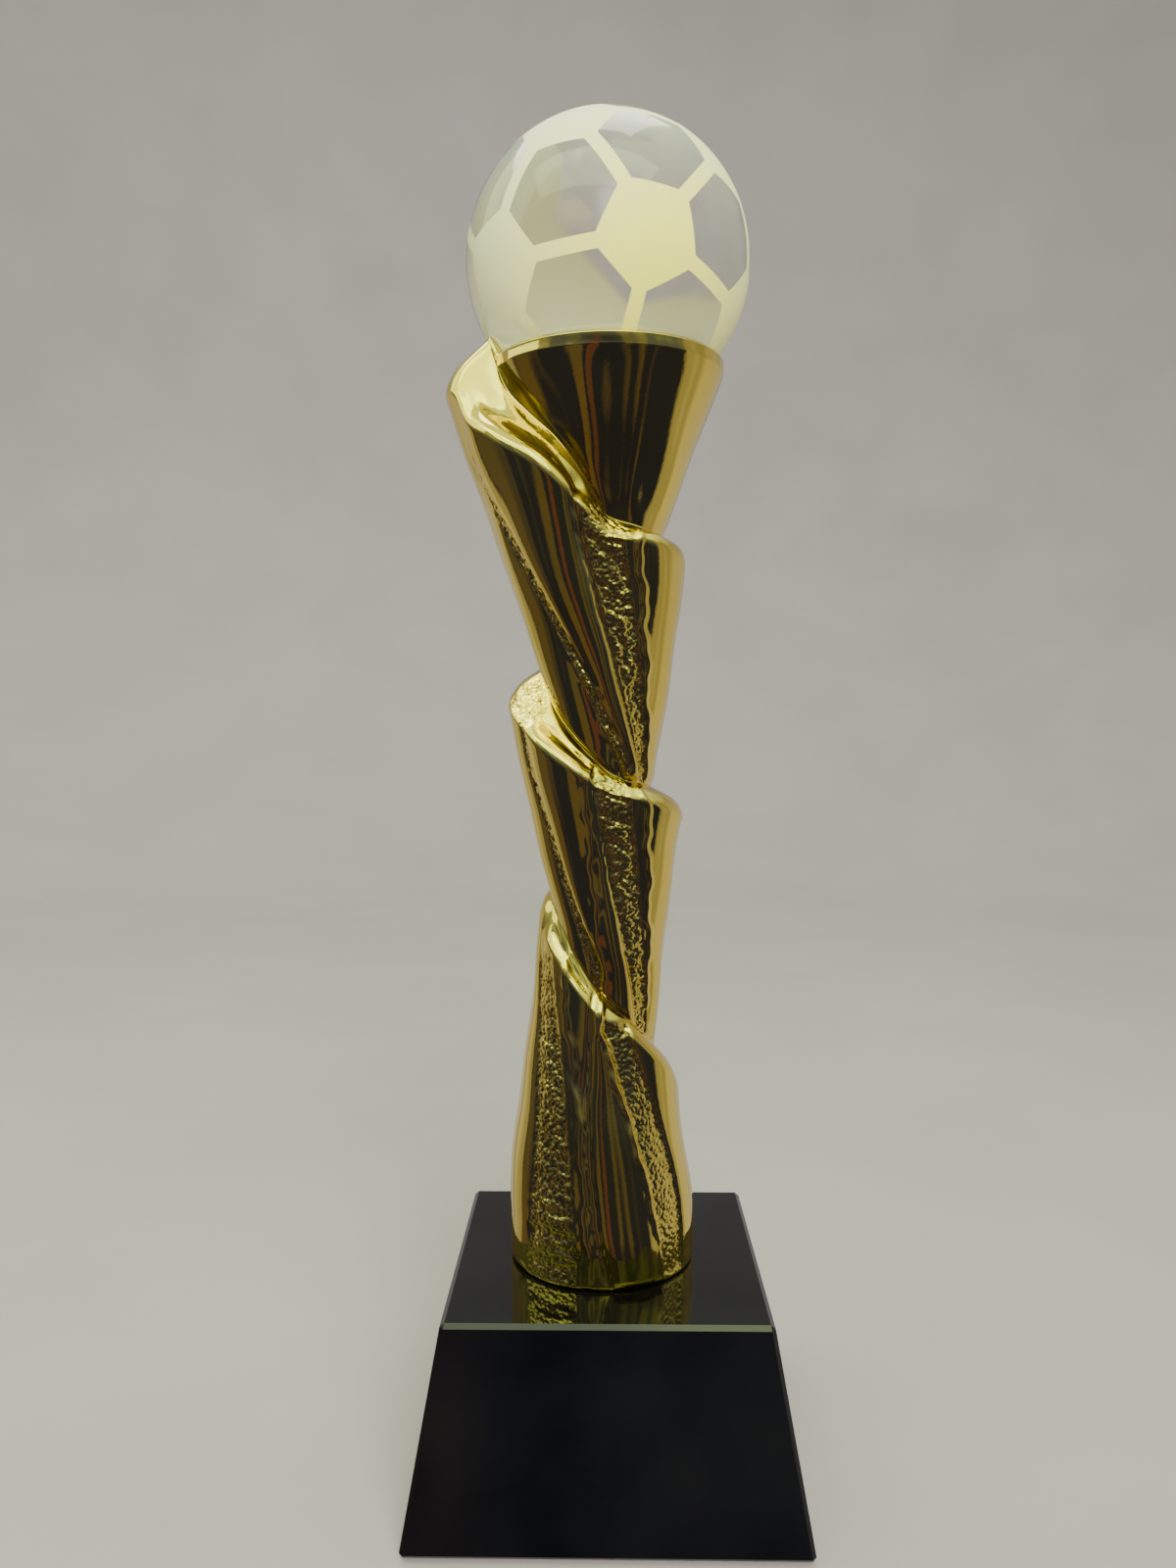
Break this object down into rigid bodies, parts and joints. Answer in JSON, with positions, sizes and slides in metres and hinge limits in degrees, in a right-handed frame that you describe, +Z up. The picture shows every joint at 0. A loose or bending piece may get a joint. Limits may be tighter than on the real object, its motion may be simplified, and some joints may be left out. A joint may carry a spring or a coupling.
{
  "type": "column trophy",
  "caption": "Sports trophy: a clear glass ball with an etched football pattern in a gold spiral-wrapped column on a tapered black glass block.",
  "frame": {"origin": "centre of the underside of the pad below the glass block", "axes": "+Z up along the column, the front engraving face of the block looks along -Y"},
  "size_m": [0.1066, 0.1066, 0.3828],
  "materials": {
    "clear_glass": "polished with etched zones",
    "glue": "clear cured glue film",
    "gold_plating": "mirror gold plating over cast resin",
    "plug_plastic": "moulded",
    "foam": "closed-cell foam",
    "black_glass": "polished black",
    "steel": "zinc plated",
    "rubber": "matt",
    "felt": "felt"
  },
  "bodies": {
    "root": {"crystal_ball": "clear_glass", "ball_adhesive": "glue", "column": "gold_plating", "foot_plug": "plug_plastic", "foot_gasket": "foam", "crystal_base": "black_glass", "tie_rod": "steel", "hex_nuts": "steel", "flat_washers": "steel", "spring_washer": "steel", "rubber_washer": "rubber", "base_pad": "felt"}
  },
  "joints": []
}
